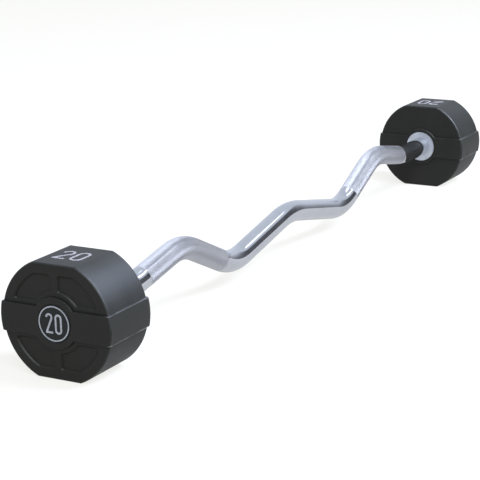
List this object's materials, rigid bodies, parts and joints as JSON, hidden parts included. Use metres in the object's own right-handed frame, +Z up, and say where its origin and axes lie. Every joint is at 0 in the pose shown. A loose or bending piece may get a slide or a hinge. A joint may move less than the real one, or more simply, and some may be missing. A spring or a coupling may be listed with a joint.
{
  "type": "ez curl bar",
  "caption": "Fixed-weight cambered curl barbell: a zigzag chromed bar with knurled grips and a flat-sided drum weight in a black urethane jacket at each end.",
  "frame": {"origin": "on the floor plane that the lower flats of the heads stand on, under the middle of the bar", "axes": "+X along the bar, +Z up, square to the flats of the heads, +Y across the heads"},
  "size_m": [1.1402, 0.1504, 0.1358],
  "materials": {
    "bar_chrome": "hard chrome plate, mirror bright in the middle and at the stubs, diamond knurled on the grips",
    "jacket_urethane": "satin black cast urethane",
    "core_steel": "turned steel, bare",
    "collar_steel": "turned and bright plated",
    "fastener_steel": "zinc plated",
    "badge_plastic": "matte moulded plastic",
    "white_marking": "white inlay, slightly raised"
  },
  "bodies": {
    "root": {"curl_bar": "bar_chrome", "right_jacket": "jacket_urethane", "left_jacket": "jacket_urethane", "right_core": "core_steel", "left_core": "core_steel", "right_collar": "collar_steel", "left_collar": "collar_steel", "right_key": "fastener_steel", "left_key": "fastener_steel", "right_end_washer": "fastener_steel", "left_end_washer": "fastener_steel", "right_spring_washer": "fastener_steel", "left_spring_washer": "fastener_steel", "right_end_bolt": "fastener_steel", "left_end_bolt": "fastener_steel", "right_badge_cap": "badge_plastic", "left_badge_cap": "badge_plastic", "right_badge_ring": "white_marking", "left_badge_ring": "white_marking", "right_badge_digits": "white_marking", "left_badge_digits": "white_marking", "right_top_digits": "white_marking", "left_top_digits": "white_marking"}
  },
  "joints": []
}
